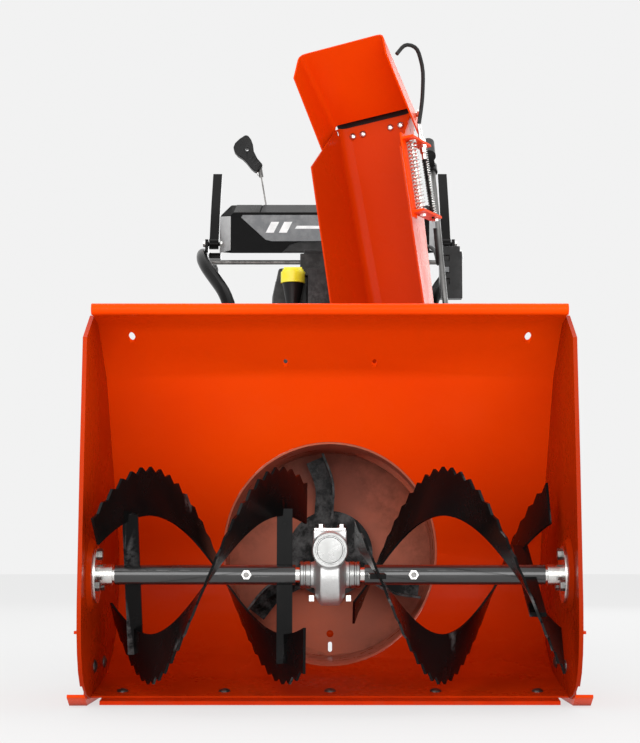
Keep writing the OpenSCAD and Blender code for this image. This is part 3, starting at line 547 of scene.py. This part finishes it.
def gear_case():
    """Sand-cast worm case: blended volumes, a machined front plug, hub rings and bolts."""
    bm = bmesh.new()
    across = frame_at(AUGER, X_AXIS)
    shaft_z = IMPELLER.z + 4.0 * MM
    along = frame_at(Vector((0, 0, shaft_z)), Y_AXIS)
    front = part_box("gearbox_case")[0].y
    belly, boss, hub = 39 * MM, 22.6 * MM, 16.5 * MM
    lathe(bm, [(0, -19 * MM), (belly * 0.72, -19 * MM), (belly, -12 * MM), (belly, 12 * MM),
               (belly * 0.72, 19 * MM), (0, 19 * MM)], across)
    lathe(bm, [(0, -37 * MM), (hub, -37 * MM), (hub, 37 * MM), (0, 37 * MM)], across)
    lathe(bm, [(0, front + 1 * MM), (boss, front + 1 * MM), (boss, -566 * MM), (16 * MM, -556 * MM),
               (16 * MM, -505 * MM), (0, -505 * MM)], along)
    block(bm, (-21 * MM, front + 5 * MM, 190 * MM), (21 * MM, -583 * MM, 221 * MM))
    for x in (-1, 1):
        block(bm, (x * 15 * MM - 2.2 * MM, -634 * MM, 140 * MM), (x * 15 * MM + 2.2 * MM, -590 * MM, 214 * MM))
    case = piece("gear_case_casting", bm, finishes["cast_aluminium"], None)
    case.modifiers.clear()
    remesh = case.modifiers.new("blend", "REMESH")
    remesh.mode = "VOXEL"
    remesh.voxel_size = 1.3 * MM
    remesh.use_smooth_shade = True
    relax = case.modifiers.new("relax", "SMOOTH")
    relax.factor = 0.6
    relax.iterations = 7
    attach(case, "chassis")
    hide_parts("gearbox_case")

    bm = bmesh.new()
    plug = frame_at(Vector((0, front, shaft_z)), -Y_AXIS)
    lathe(bm, in_mm([(22.0, -4), (22.0, 0.2), (21.2, 0.8), (18.0, 0.8), (17.6, 0.2), (17.6, -1.6), (16.8, -1.6),
                     (16.6, -0.6), (15.8, 0.0), (9, 0.15), (0, 0.3)]), plug, 64)
    for side in (-1, 1):
        collar = frame_at(AUGER + X_AXIS * side * 24 * MM, X_AXIS * side)
        lathe(bm, in_mm([(16.2, 0), (17.4, 1), (17.4, 6.5), (16.6, 7.5), (16.6, 9.5), (17.2, 10.2), (17.2, 13.2),
                         (16, 14.4), (10.2, 14.4)]), collar, 48)
    piece("gear_case_machined_faces", bm, machined_face, "chassis", edge=0.15 * MM)

    bm = bmesh.new()
    block(bm, (-19.5 * MM, front + 7 * MM, 220.6 * MM), (19.5 * MM, -585 * MM, 223.6 * MM))
    for x in (-11.5, 14.5):
        for y in (front + 13 * MM, -592 * MM):
            hex_head(bm, frame_at((x * MM, y, 223.4 * MM), Z_AXIS), 4.6 * MM, 5.2 * MM)
    for x in (-23.5, 23.5):
        block(bm, ((x - 3.2) * MM, -620 * MM, 131.5 * MM), ((x + 3.2) * MM, -606 * MM, 139 * MM))
    piece("gear_case_bolts", bm, finishes["zinc_steel"], "chassis", edge=0.25 * MM)


gear_case()


# ---------- chute springs, rods and hinge flap ----------

def chute_springs():
    """Coil springs, cable ferrule and adjuster nuts between the two brackets on the chute's side."""
    low, high, top = 315 * MM, 421.5 * MM, 454 * MM
    spring, cable, thin = (82 * MM, -36 * MM), (85.5 * MM, 4 * MM), (83 * MM, 20 * MM)
    bm = bmesh.new()
    coil(bm, CHUTE @ shift(*spring, low), 6.3 * MM, 1.15 * MM, high - low, 19)
    coil(bm, CHUTE @ shift(*thin, low), 3.6 * MM, 0.8 * MM, high - low, 30, 12)
    cylinder(bm, CHUTE @ shift(*spring, low - 8 * MM), 2.2 * MM, high - low + 16 * MM, 20)
    cylinder(bm, CHUTE @ shift(*thin, low - 8 * MM), 1.6 * MM, high - low + 16 * MM, 16)
    ferrule = CHUTE @ shift(*cable, 400 * MM)
    above = top - 400 * MM
    lathe(bm, in_mm([(0, 0), (3.2, 0), (3.2, 8), (4.7, 10), (4.7, 34), (3.6, 37), (3.6, 48)])
          + [(2.8 * MM, above), (0, above)], ferrule, 24)
    for z in (high - 4.2 * MM, high + 4.3 * MM):
        prism(bm, ngon(6, 6.2 * MM), z, z + 4 * MM, CHUTE @ shift(*cable, 0))
    for place_at in (spring, thin):
        for z in (low - 7.8 * MM, high + 4.3 * MM):
            prism(bm, ngon(6, 5.0 * MM), z, z + 3.6 * MM, CHUTE @ shift(*place_at, 0))
    piece("deflector_spring_set", bm, finishes["zinc_steel"], "chute", ("deflector_springs",))

    bm = bmesh.new()
    coil(bm, CHUTE @ shift(*cable, low), 3.3 * MM, 0.9 * MM, 84 * MM, 20, 12)
    cylinder(bm, CHUTE @ shift(*cable, low - 6 * MM), 1.9 * MM, 92 * MM, 16)
    piece("deflector_return_spring", bm, finishes["black_paint"], "chute")


def hinge_flap():
    """Rubber flap that closes the gap between the chute's back wall and the hood."""
    line = [(65.0, 462), (65.0, 474), (65.0, 484), (63.4, 491), (58.4, 496), (52.8, 500), (46.4, 505),
            (39.0, 511.5)]
    columns = 9
    across = [-64 + 122 * k / (columns - 1) for k in range(columns)]
    bm = bmesh.new()
    sheets = []
    for depth in (0.0, 2.2):
        sheets.append([[bm.verts.new(CHUTE @ Vector((x * MM, (y + depth) * MM, z * MM))) for x in across]
                       for y, z in line])
    inner, outer = sheets
    for rows in sheets:
        for a, b in zip(rows, rows[1:]):
            for k in range(columns - 1):
                bm.faces.new((a[k], a[k + 1], b[k + 1], b[k]))
    for end in (0, -1):
        for k in range(columns - 1):
            bm.faces.new((inner[end][k], inner[end][k + 1], outer[end][k + 1], outer[end][k]))
        for i in range(len(line) - 1):
            bm.faces.new((inner[i][end], inner[i + 1][end], outer[i + 1][end], outer[i][end]))
    flap = piece("deflector_hinge_flap", bm, finishes["soft_rubber"], None)
    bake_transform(flap)


chute_springs()
hinge_flap()


# ---------- dash ----------

def dash():
    """Dash shell, a slanted top band of painted highlight, side facets of painted reflection, a plain graphic
    panel and the console bulge under it.
    """
    lo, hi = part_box("dash_panel")
    front, fold = lo.y, 520 * MM
    face_x, wide_x = 197 * MM, hi.x
    base_z, face_top, crown = lo.z, 867 * MM, hi.z
    top_y = 594 * MM

    def ring(y, half, z0, z1, cut):
        return [(-half, y, z0), (half, y, z0), (half, y, z1 - cut), (half - cut, y, z1), (-half + cut, y, z1),
                (-half, y, z1 - cut)]

    bm = bmesh.new()
    sections = [ring(front, face_x, base_z, face_top, 4 * MM),
                ring(fold, wide_x, base_z + 9 * MM, crown, 22 * MM),
                ring(top_y, wide_x - 14 * MM, base_z + 25 * MM, crown - 8 * MM, 24 * MM),
                ring(hi.y, 190 * MM, base_z + 33 * MM, 880 * MM, 26 * MM)]
    rings = [[bm.verts.new(p) for p in s] for s in sections]
    for a, b in zip(rings, rings[1:]):
        for k in range(6):
            n = (k + 1) % 6
            bm.faces.new((a[k], a[n], b[n], b[k]))
    bm.faces.new(rings[0])
    piece("dash_shell", bm, dash_black, "chassis", ("dash_panel",), edge=2.2 * MM)

    # The slanted top band, lighter than the shell: a painted highlight
    bm = bmesh.new()
    rise = (crown - face_top) / (fold - front)
    out = Vector((0, -rise, 1)).normalized() * 1.2 * MM
    for x0, x1 in ((-190, -139), (-136, 190)):
        corners = []
        for x, y, z, slant in ((x0, front, face_top, -4), (x1, front, face_top, -4), (x1, fold, crown, 4),
                               (x0, fold, crown, 4)):
            inset = 1.5 * MM if y == front else -1.5 * MM
            corners.append(Vector(((x + slant * 0.5) * MM, y + inset, z + inset * rise)))
        raised_quad(bm, corners, out * -0.5, out)
    piece("dash_top_band", bm, band_highlight, "chassis", edge=0.5 * MM)

    # Side facets, lighter than the shell: a painted reflection
    bm = bmesh.new()
    for s in (-1, 1):
        corners = [Vector((s * face_x, front + 2 * MM, base_z + 6 * MM)),
                   Vector((s * wide_x, fold, base_z + 8 * MM)),
                   Vector((s * wide_x, fold, crown - 24 * MM)),
                   Vector((s * face_x, front + 2 * MM, face_top - 6 * MM))]
        push = Vector((s * (fold - front), -(wide_x - face_x), 0)).normalized() * 1.2 * MM
        raised_quad(bm, corners, Vector(), push)
    piece("dash_side_facets", bm, facet_reflection, "chassis", edge=0.4 * MM)

    facing = frame_at((0, front, 0), -Y_AXIS, X_AXIS)

    def on_face(outline, thick):
        prism(bm, in_mm(outline), -0.2 * MM, thick, facing)

    bm = bmesh.new()
    on_face([(-174, 863), (174, 863), (177, 858), (128, 813), (116, 810), (-116, 810), (-128, 813), (-177, 858)],
            1.0 * MM)
    piece("dash_panel_graphic", bm, finishes["grey_plastic"], "chassis", edge=0.3 * MM)
    bm = bmesh.new()
    for x in (-128, -102, 74, 100):
        on_face([(x, 827), (x + 16, 827), (x + 27, 849), (x + 11, 849)], 1.5 * MM)
    on_face([(-70, 835), (60, 835), (64, 841), (-66, 841)], 1.5 * MM)
    piece("dash_stripes", bm, white_mark, "chassis", edge=0.15 * MM)

    bm = bmesh.new()
    on_face([(-96, 786), (96, 786), (80, 802), (60, 807), (-60, 807), (-80, 802)], 9 * MM)
    piece("dash_console_bulge", bm, finishes["black_plastic"], "chassis", edge=3 * MM)


dash()


# ---------- wheels ----------

TREAD_BARS = 26
HALF_TYRE = 61 * MM


def tread_bar(bm, at, radius, angle, hand):
    """One swept tread bar, from near the middle of the tyre out over its shoulder."""
    rows = []
    for step in range(6):
        t = step / 5
        across = hand * (4 + 54 * t) * MM
        swing = angle + 0.20 * (1 - t)
        outer = radius - (0.3 + 14.0 * t ** 5) * MM
        inner = outer - 14 * MM
        wide = (0.030 + 0.012 * t)
        rows.append([(inner, swing - wide - 0.008, across), (outer, swing - wide, across),
                     (outer, swing + wide, across), (inner, swing + wide + 0.008, across)])
    made = [[bm.verts.new(at @ Vector((r * math.cos(a), r * math.sin(a), h))) for r, a, h in row] for row in rows]
    for a, b in zip(made, made[1:]):
        for q in range(4):
            n = (q + 1) % 4
            bm.faces.new((a[q], a[n], b[n], b[q]))
    bm.faces.new(made[0])
    bm.faces.new(made[-1])


def tyres():
    """Snow tyres: rounded carcass with sidewall rings and swept tread bars."""
    lo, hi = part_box("tyres")
    radius = (hi.z - lo.z) / 2
    centre_x = hi.x - HALF_TYRE
    for side, hand_name in ((-1, "right"), (1, "left")):
        at = frame_at(Vector((side * centre_x, AXLE.y, AXLE.z)), X_AXIS)
        bm = bmesh.new()
        profile = [(108.3, -43), (114, -48), (124, -53), (126, -55.5), (130, -55.5), (132, -54.5), (150, -58.5),
                   (166, -59), (180, -56.5), (187, -51), (190, -44), (190, -20), (190, 0), (190, 20), (190, 44),
                   (187, 51), (180, 56.5), (166, 59), (150, 58.5), (132, 54.5), (130, 55.5), (126, 55.5),
                   (124, 53), (114, 48), (108.3, 43)]
        lathe(bm, in_mm(profile), at, 96)
        for k in range(TREAD_BARS):
            for hand in (-1, 1):
                tread_bar(bm, at, radius, TAU * (k + (0.5 if hand > 0 else 0.0)) / TREAD_BARS, hand)
        piece("tyre_" + hand_name, bm, finishes["tyre_rubber"], "wheel_set", ("tyres",),
              edge=0.8 * MM)

        bm = bmesh.new()
        rim_face = frame_at(Vector((side * centre_x, AXLE.y, AXLE.z)), X_AXIS * side)
        for k in range(5):
            turn = Matrix.Rotation(TAU * (k + 0.5) / 5, 4, "Z")
            hex_head(bm, rim_face @ turn @ shift(34 * MM, 0, 2 * MM), 6 * MM, 5 * MM)
        valve = rim_face @ shift(82 * MM, 0, 6 * MM) @ Matrix.Rotation(math.radians(18), 4, "Y")
        cylinder(bm, valve, 3 * MM, 26 * MM, 16)
        piece("wheel_bolts_" + hand_name, bm, finishes["zinc_steel"], "wheel_set", edge=0.3 * MM)


tyres()


# ---------- grips, levers and knobs ----------

def grips():
    """Ribbed rubber grips with a collar at the front and a closed end."""
    lo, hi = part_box("hand_grips")
    r = (hi.z - lo.z) / 2
    for side in (-1, 1):
        at = frame_at(Vector((side * (hi.x - r), lo.y, (lo.z + hi.z) / 2)), Y_AXIS)
        length = hi.y - lo.y
        bm = bmesh.new()
        profile = [(12.9 * MM, 0), (r, 0), (r, 5 * MM), (r - 1.8 * MM, 7 * MM)]
        ribs = 17
        pitch = (length - 22 * MM) / ribs
        for k in range(ribs):
            h = 9 * MM + (length - 22 * MM) * k / ribs
            profile += [(r - 2 * MM, h), (r - 0.6 * MM, h + pitch * 0.25), (r - 0.6 * MM, h + pitch * 0.65),
                        (r - 2 * MM, h + pitch * 0.9)]
        profile += [(r - 1 * MM, length - 9 * MM), (r - 1 * MM, length - 3 * MM), (r - 3 * MM, length),
                    (0, length)]
        lathe(bm, profile, at, 40)
        piece("hand_grip_left" if side > 0 else "hand_grip_right", bm, finishes["soft_rubber"], "chassis",
              ("hand_grips",))


grips()


def speed_knob():
    """Moulded knob of the speed selector: wide head with a hole, waist, grip ribs and a wire loop under it."""
    outline = [(-80.3, 196.0), (-76.5, 205.3), (-66.7, 214.6), (-56.0, 221.6), (-50.1, 220.6), (-43.9, 212.3),
               (-40.0, 201.8), (-38.2, 187.8), (-31.1, 173.4), (-20.1, 160.3), (-21.0, 155.2), (-31.0, 146.4),
               (-35.6, 145.6), (-43.6, 152.4), (-53.4, 165.0), (-61.9, 173.4), (-70.4, 178.5), (-77.7, 186.6)]
    pivot = joint_at("speed_select")
    at = frame_at(pivot, -Y_AXIS, X_AXIS)
    hole = [(-51.8 * MM + x, 191.3 * MM + y) for x, y in reversed(ngon(20, 3.6 * MM))]
    bm = bmesh.new()
    holed_prism(bm, in_mm(outline), hole, -10.5 * MM, 10.5 * MM, at)
    knob = piece("speed_knob", bm, finishes["black_plastic"], "speed_selector", ("shift_knob",),
                 edge=3.4 * MM)
    knob.modifiers["edges"].segments = 4
    bm = bmesh.new()
    lathe(bm, in_mm([(3.7, 10.8), (5.6, 10.8), (5.6, 11.3), (3.7, 11.3)]),
          at @ shift(-51.8 * MM, 191.3 * MM, 0), 28)
    for k in range(4):
        a = Vector((-46.5 + 5.0 * k, 170.0 - 6.0 * k, 0)) * MM
        b = a + Vector((8.6, 6.8, 0)) * MM
        for z in (-10.9, 10.9):
            tube(bm, [at @ (a + Vector((0, 0, z * MM))), at @ (b + Vector((0, 0, z * MM)))], 0.9 * MM, 8)
    piece("speed_knob_ribs", bm, finishes["black_plastic"], "speed_selector")
    bm = bmesh.new()
    loop = [at @ Vector(((-28.3 + 3.2 * math.cos(a)) * MM, (143.0 + 4.2 * math.sin(a)) * MM, 0))
            for a in [TAU * k / 20 for k in range(20)]]
    tube(bm, loop, 0.9 * MM, 8, True)
    piece("speed_knob_loop", bm, finishes["zinc_steel"], "speed_selector")


speed_knob()


def rivets():
    """Small bright rivets near the top of each clutch lever, and pivot bolts at their brackets."""
    for body, side in (("drive_clutch", 1), ("auger_clutch", -1)):
        name = body + "_lever"
        lo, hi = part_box(name)
        bm = bmesh.new()
        x = (lo.x + hi.x) / 2
        slope = Vector((0, -0.855, 0.518))
        dome_head(bm, frame_at(Vector((x, hi.y - 10.5 * MM, hi.z - 11 * MM)), slope), 3 * MM, 1.6 * MM)
        piece(name + "_rivet", bm, white_mark, body)
        bm = bmesh.new()
        pivot = joint_at(body + "_squeeze")
        pivot.x = side * 252 * MM
        hex_head(bm, frame_at(pivot - X_AXIS * side * 3 * MM, X_AXIS * side), 6 * MM, 5 * MM)
        hex_head(bm, frame_at(Vector((side * 219.2 * MM, pivot.y, pivot.z)), -X_AXIS * side), 5.5 * MM, 4 * MM)
        piece(name + "_pivot_bolt", bm, finishes["zinc_steel"], "chassis", edge=0.3 * MM)


rivets()


def housing_fasteners():
    """Painted bolt heads on the drum's back and the outside nuts of the bearing and shoe bolts."""
    bm = bmesh.new()
    for turn in (90, 210, 330):
        a = math.radians(turn)
        place_at = Vector((30 * MM * math.cos(a), -222 * MM, IMPELLER.z + 30 * MM * math.sin(a)))
        hex_head(bm, frame_at(place_at, -Y_AXIS), 5.5 * MM, 4 * MM)
    piece("drum_bearing_bolts", bm, finishes["dark_steel"], "chassis", edge=0.25 * MM)
    bm = bmesh.new()
    dome_head(bm, frame_at(Vector((0, -222 * MM, IMPELLER.z - 120 * MM)), -Y_AXIS), 5.4 * MM, 2.6 * MM)
    piece("drum_drain_bolt", bm, finishes["orange_paint"], "chassis")
    bm = bmesh.new()
    for side in (-1, 1):
        for a in (90, 210, 330):
            a = math.radians(a)
            spot = AUGER + Vector((side * 308 * MM, 26 * MM * math.cos(a), 26 * MM * math.sin(a)))
            hex_head(bm, frame_at(spot, X_AXIS * side), 6.5 * MM, 5 * MM)
        for y in (-570, -482):
            spot = Vector((side * 312.4 * MM, y * MM, 47 * MM))
            hex_head(bm, frame_at(spot, X_AXIS * side), 6.8 * MM, 5 * MM)
    piece("side_nuts", bm, finishes["zinc_steel"], "chassis", edge=0.25 * MM)


housing_fasteners()


def shear_bolt_ends():
    """Dark threaded ends in the middle of the bright shear bolt nuts on the auger tubes."""
    lo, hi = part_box("shear_pins")
    bm = bmesh.new()
    for side in (-1, 1):
        x = side * (hi.x - 6.3 * MM)
        for y, out in ((lo.y, -1), (hi.y, 1)):
            at = frame_at(Vector((x, y - out * 0.4 * MM, AUGER.z)), Y_AXIS * out)
            lathe(bm, in_mm([(0, 0), (3.4, 0), (3.4, 1.4), (2.6, 2.0), (0, 2.0)]), at, 24)
    piece("shear_bolt_ends", bm, finishes["dark_steel"], "augers")


shear_bolt_ends()


def blower_cover():
    """Shoulder cover of the blower housing, beside the filler tube and under the tank's edge."""
    deck = 585.4
    outline = [(-96, deck), (-36.4, deck), (-36.4, 653.8), (-50.6, 653.8), (-50.6, 668), (-86, 668), (-95, 625)]
    facing = frame_at((0, 0, 0), -Y_AXIS, X_AXIS)
    bm = bmesh.new()
    prism(bm, in_mm(outline), -118 * MM, 16 * MM, facing)
    piece("blower_cover", bm, finishes["black_plastic"], "chassis", edge=4 * MM)
    bm = bmesh.new()
    for k in range(7):
        y = (4 + 15 * k) * MM
        rib = [(x * MM, y, z * MM) for x, z in ((-96.0, 604), (-95.4, 622), (-90.0, 648))]
        tube(bm, rib, 1.8 * MM, 8)
    piece("blower_cover_ribs", bm, finishes["black_plastic"], "chassis")


blower_cover()


# ---------- stage, light and camera ----------

BACKDROP = (0.887, 0.887, 0.887, 1)
FLOOR_RADIUS = 14.0
FLOOR_SHADE = 0.25  # share of the floor that takes shadows; the rest glows like the backdrop
FLOOR_GLOW = 0.97


def plain_floor():
    bm = bmesh.new()
    bm.faces.new([bm.verts.new((x, y, -0.6 * MM)) for x, y in ngon(96, FLOOR_RADIUS)])
    mesh = bpy.data.meshes.new("studio_floor")
    bm.to_mesh(mesh)
    bm.free()
    floor = bpy.data.objects.new("studio_floor", mesh)
    scene.collection.objects.link(floor)
    made = bpy.data.materials.new("studio_floor")
    made.use_nodes = True
    tree = made.node_tree
    tree.nodes.clear()
    out = tree.nodes.new("ShaderNodeOutputMaterial")
    glow = tree.nodes.new("ShaderNodeEmission")
    glow.inputs["Color"].default_value = BACKDROP
    glow.inputs["Strength"].default_value = FLOOR_GLOW
    matt = tree.nodes.new("ShaderNodeBsdfDiffuse")
    matt.inputs["Color"].default_value = (0.8, 0.8, 0.8, 1)
    both = tree.nodes.new("ShaderNodeMixShader")
    both.inputs["Fac"].default_value = FLOOR_SHADE
    tree.links.new(glow.outputs["Emission"], both.inputs[1])
    tree.links.new(matt.outputs["BSDF"], both.inputs[2])
    tree.links.new(both.outputs["Shader"], out.inputs["Surface"])
    mesh.materials.append(made)


plain_floor()

world = bpy.data.worlds.new("studio")
scene.world = world
world.use_nodes = True
backdrop = world.node_tree.nodes["Background"]
backdrop.inputs["Color"].default_value = BACKDROP
backdrop.inputs["Strength"].default_value = 1.0


def softbox(name, place, target, size, power):
    lamp = bpy.data.lights.new(name, "AREA")
    lamp.shape = "RECTANGLE"
    lamp.size, lamp.size_y = size
    lamp.energy = power
    obj = bpy.data.objects.new(name, lamp)
    scene.collection.objects.link(obj)
    obj.location = place
    obj.rotation_euler = (Vector(target) - Vector(place)).to_track_quat("-Z", "Y").to_euler()


# Each lamp's place, the point it faces, its width and height in metres, and its power in watts
SOFTBOXES = {
    "key_left": ((-2.2, -2.8, 2.2), (0, -0.4, 0.3), (1.6, 1.6), 24),
    "side_right": ((2.6, -0.6, 1.4), (0.1, -0.3, 0.5), (1.2, 1.6), 16),
    "top": ((0, 0.2, 3.0), (0, 0, 0.4), (2.0, 2.0), 20),
    "front_low": ((0.0, -3.4, 0.90), (0, -0.4, 0.35), (4.2, 1.6), 64),
    "rear": ((0.6, 3.0, 1.6), (0, 0.2, 0.4), (1.8, 1.2), 17),
}
for lamp_name, setting in SOFTBOXES.items():
    softbox(lamp_name, *setting)

# The camera stands low in front and looks slightly up, as far back as the housing's width asks for
# The photo's view: where the camera stands, how far it looks up in degrees, lens and sensor in millimetres
EYE = (0.0, -2.704, 0.190)
EYE_PITCH = 6.4388
LENS = 78.78
SENSOR = 36.0
SIDE_SHIFT = -10 / 743  # ten pixels of the picture's longer side
camera = bpy.data.cameras.new("camera")
camera.sensor_width = SENSOR
camera.lens = LENS
camera.shift_x = SIDE_SHIFT
camera.dof.use_dof = False
eye = bpy.data.objects.new("camera", camera)
scene.collection.objects.link(eye)
eye.location = EYE
eye.rotation_euler = (math.radians(90 + EYE_PITCH), 0.0, 0.0)
scene.camera = eye
scene.view_settings.view_transform = "Standard"
